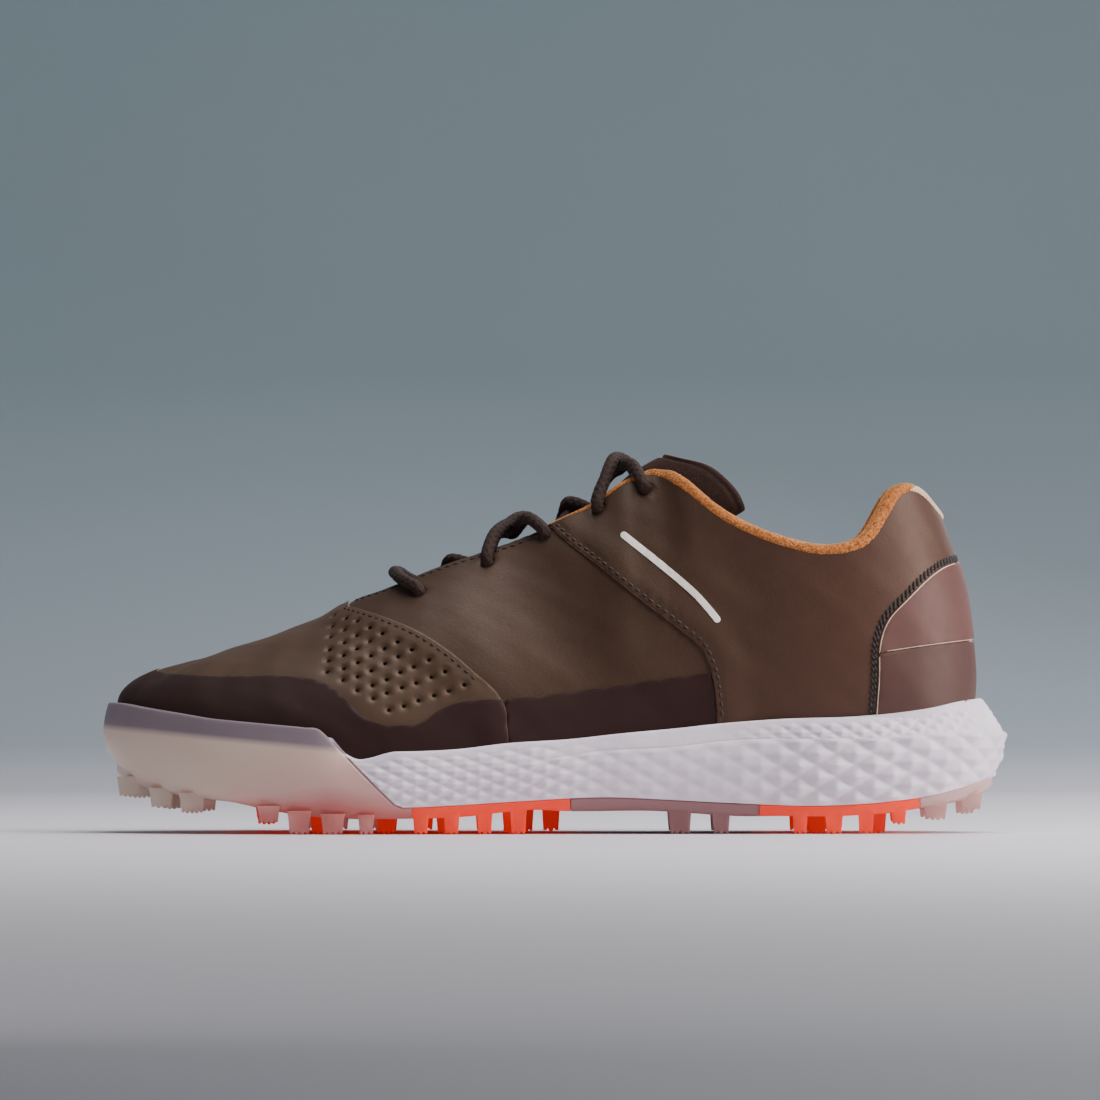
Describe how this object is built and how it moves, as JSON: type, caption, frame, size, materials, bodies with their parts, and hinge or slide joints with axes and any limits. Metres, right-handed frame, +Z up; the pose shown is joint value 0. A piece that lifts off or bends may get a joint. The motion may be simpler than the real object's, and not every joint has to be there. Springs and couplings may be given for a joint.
{
  "type": "golf shoe",
  "caption": "Low-cut laced golf shoe for the left foot: layered leather upper, padded collar, foam midsole and a studded clear outsole with coloured traction pods.",
  "frame": {"origin": "centre of the footprint's bounding box, on the ground plane", "axes": "+X from toe to heel, +Y towards the medial (inner) side, +Z up; the shoe stands on Z = 0"},
  "size_m": [0.303, 0.1084, 0.1275],
  "materials": {
    "upper_leather": "satin grained leather",
    "guard_film": "matt moulded film",
    "heel_film": "satin film",
    "stripe": "matt",
    "stiffener": "matt",
    "reinforcement": "matt",
    "lining": "knitted",
    "collar_suede": "napped suede",
    "binding": "matt",
    "collar_foam": "open-cell foam",
    "board": "matt",
    "footbed": "matt textile over foam",
    "midsole_foam": "satin moulded foam",
    "shank": "matt",
    "clear_rubber": "satin, translucent",
    "orange_rubber": "satin",
    "tongue": "matt",
    "lace": "braided",
    "aglet": "gloss"
  },
  "bodies": {
    "shoe": {"toe_vamp": "upper_leather", "side_panel_lateral": "upper_leather", "side_panel_medial": "upper_leather", "quarter_lateral": "upper_leather", "quarter_medial": "upper_leather", "toe_guard": "guard_film", "side_guard_lateral": "guard_film", "side_guard_medial": "guard_film", "heel_overlay_upper": "heel_film", "heel_overlay_lower": "heel_film", "side_stripe_lateral": "stripe", "toe_puff": "stiffener", "heel_counter": "stiffener", "eyestay_reinforcement_lateral": "reinforcement", "eyestay_reinforcement_medial": "reinforcement", "vamp_lining": "lining", "collar_lining": "collar_suede", "heel_binding": "binding", "collar_foam_lateral": "collar_foam", "collar_foam_medial": "collar_foam", "strobel_board": "board", "midsole": "midsole_foam", "shank": "shank", "forefoot_pod_lateral": "orange_rubber", "forefoot_pod_medial": "orange_rubber", "heel_pod_lateral": "orange_rubber", "heel_pod_medial": "orange_rubber", "outsole_clear": "clear_rubber", "tongue_lower": "tongue", "lace": "lace", "aglet_lateral": "aglet", "aglet_medial": "aglet"},
    "footbed": {"insole": "footbed"},
    "tongue_flap": {"tongue_upper": "tongue"}
  },
  "joints": [
    {"name": "tongue_fold", "type": "hinge", "parent": "shoe", "child": "tongue_flap", "pos_m": [0.0265, 0, 0.121], "axis": [0, -1, 0], "range_deg": [0, 34]},
    {"name": "footbed_lift", "type": "hinge", "parent": "shoe", "child": "footbed", "pos_m": [-0.138, 0, 0.0345], "axis": [0, -1, 0], "range_deg": [0, 6]}
  ]
}
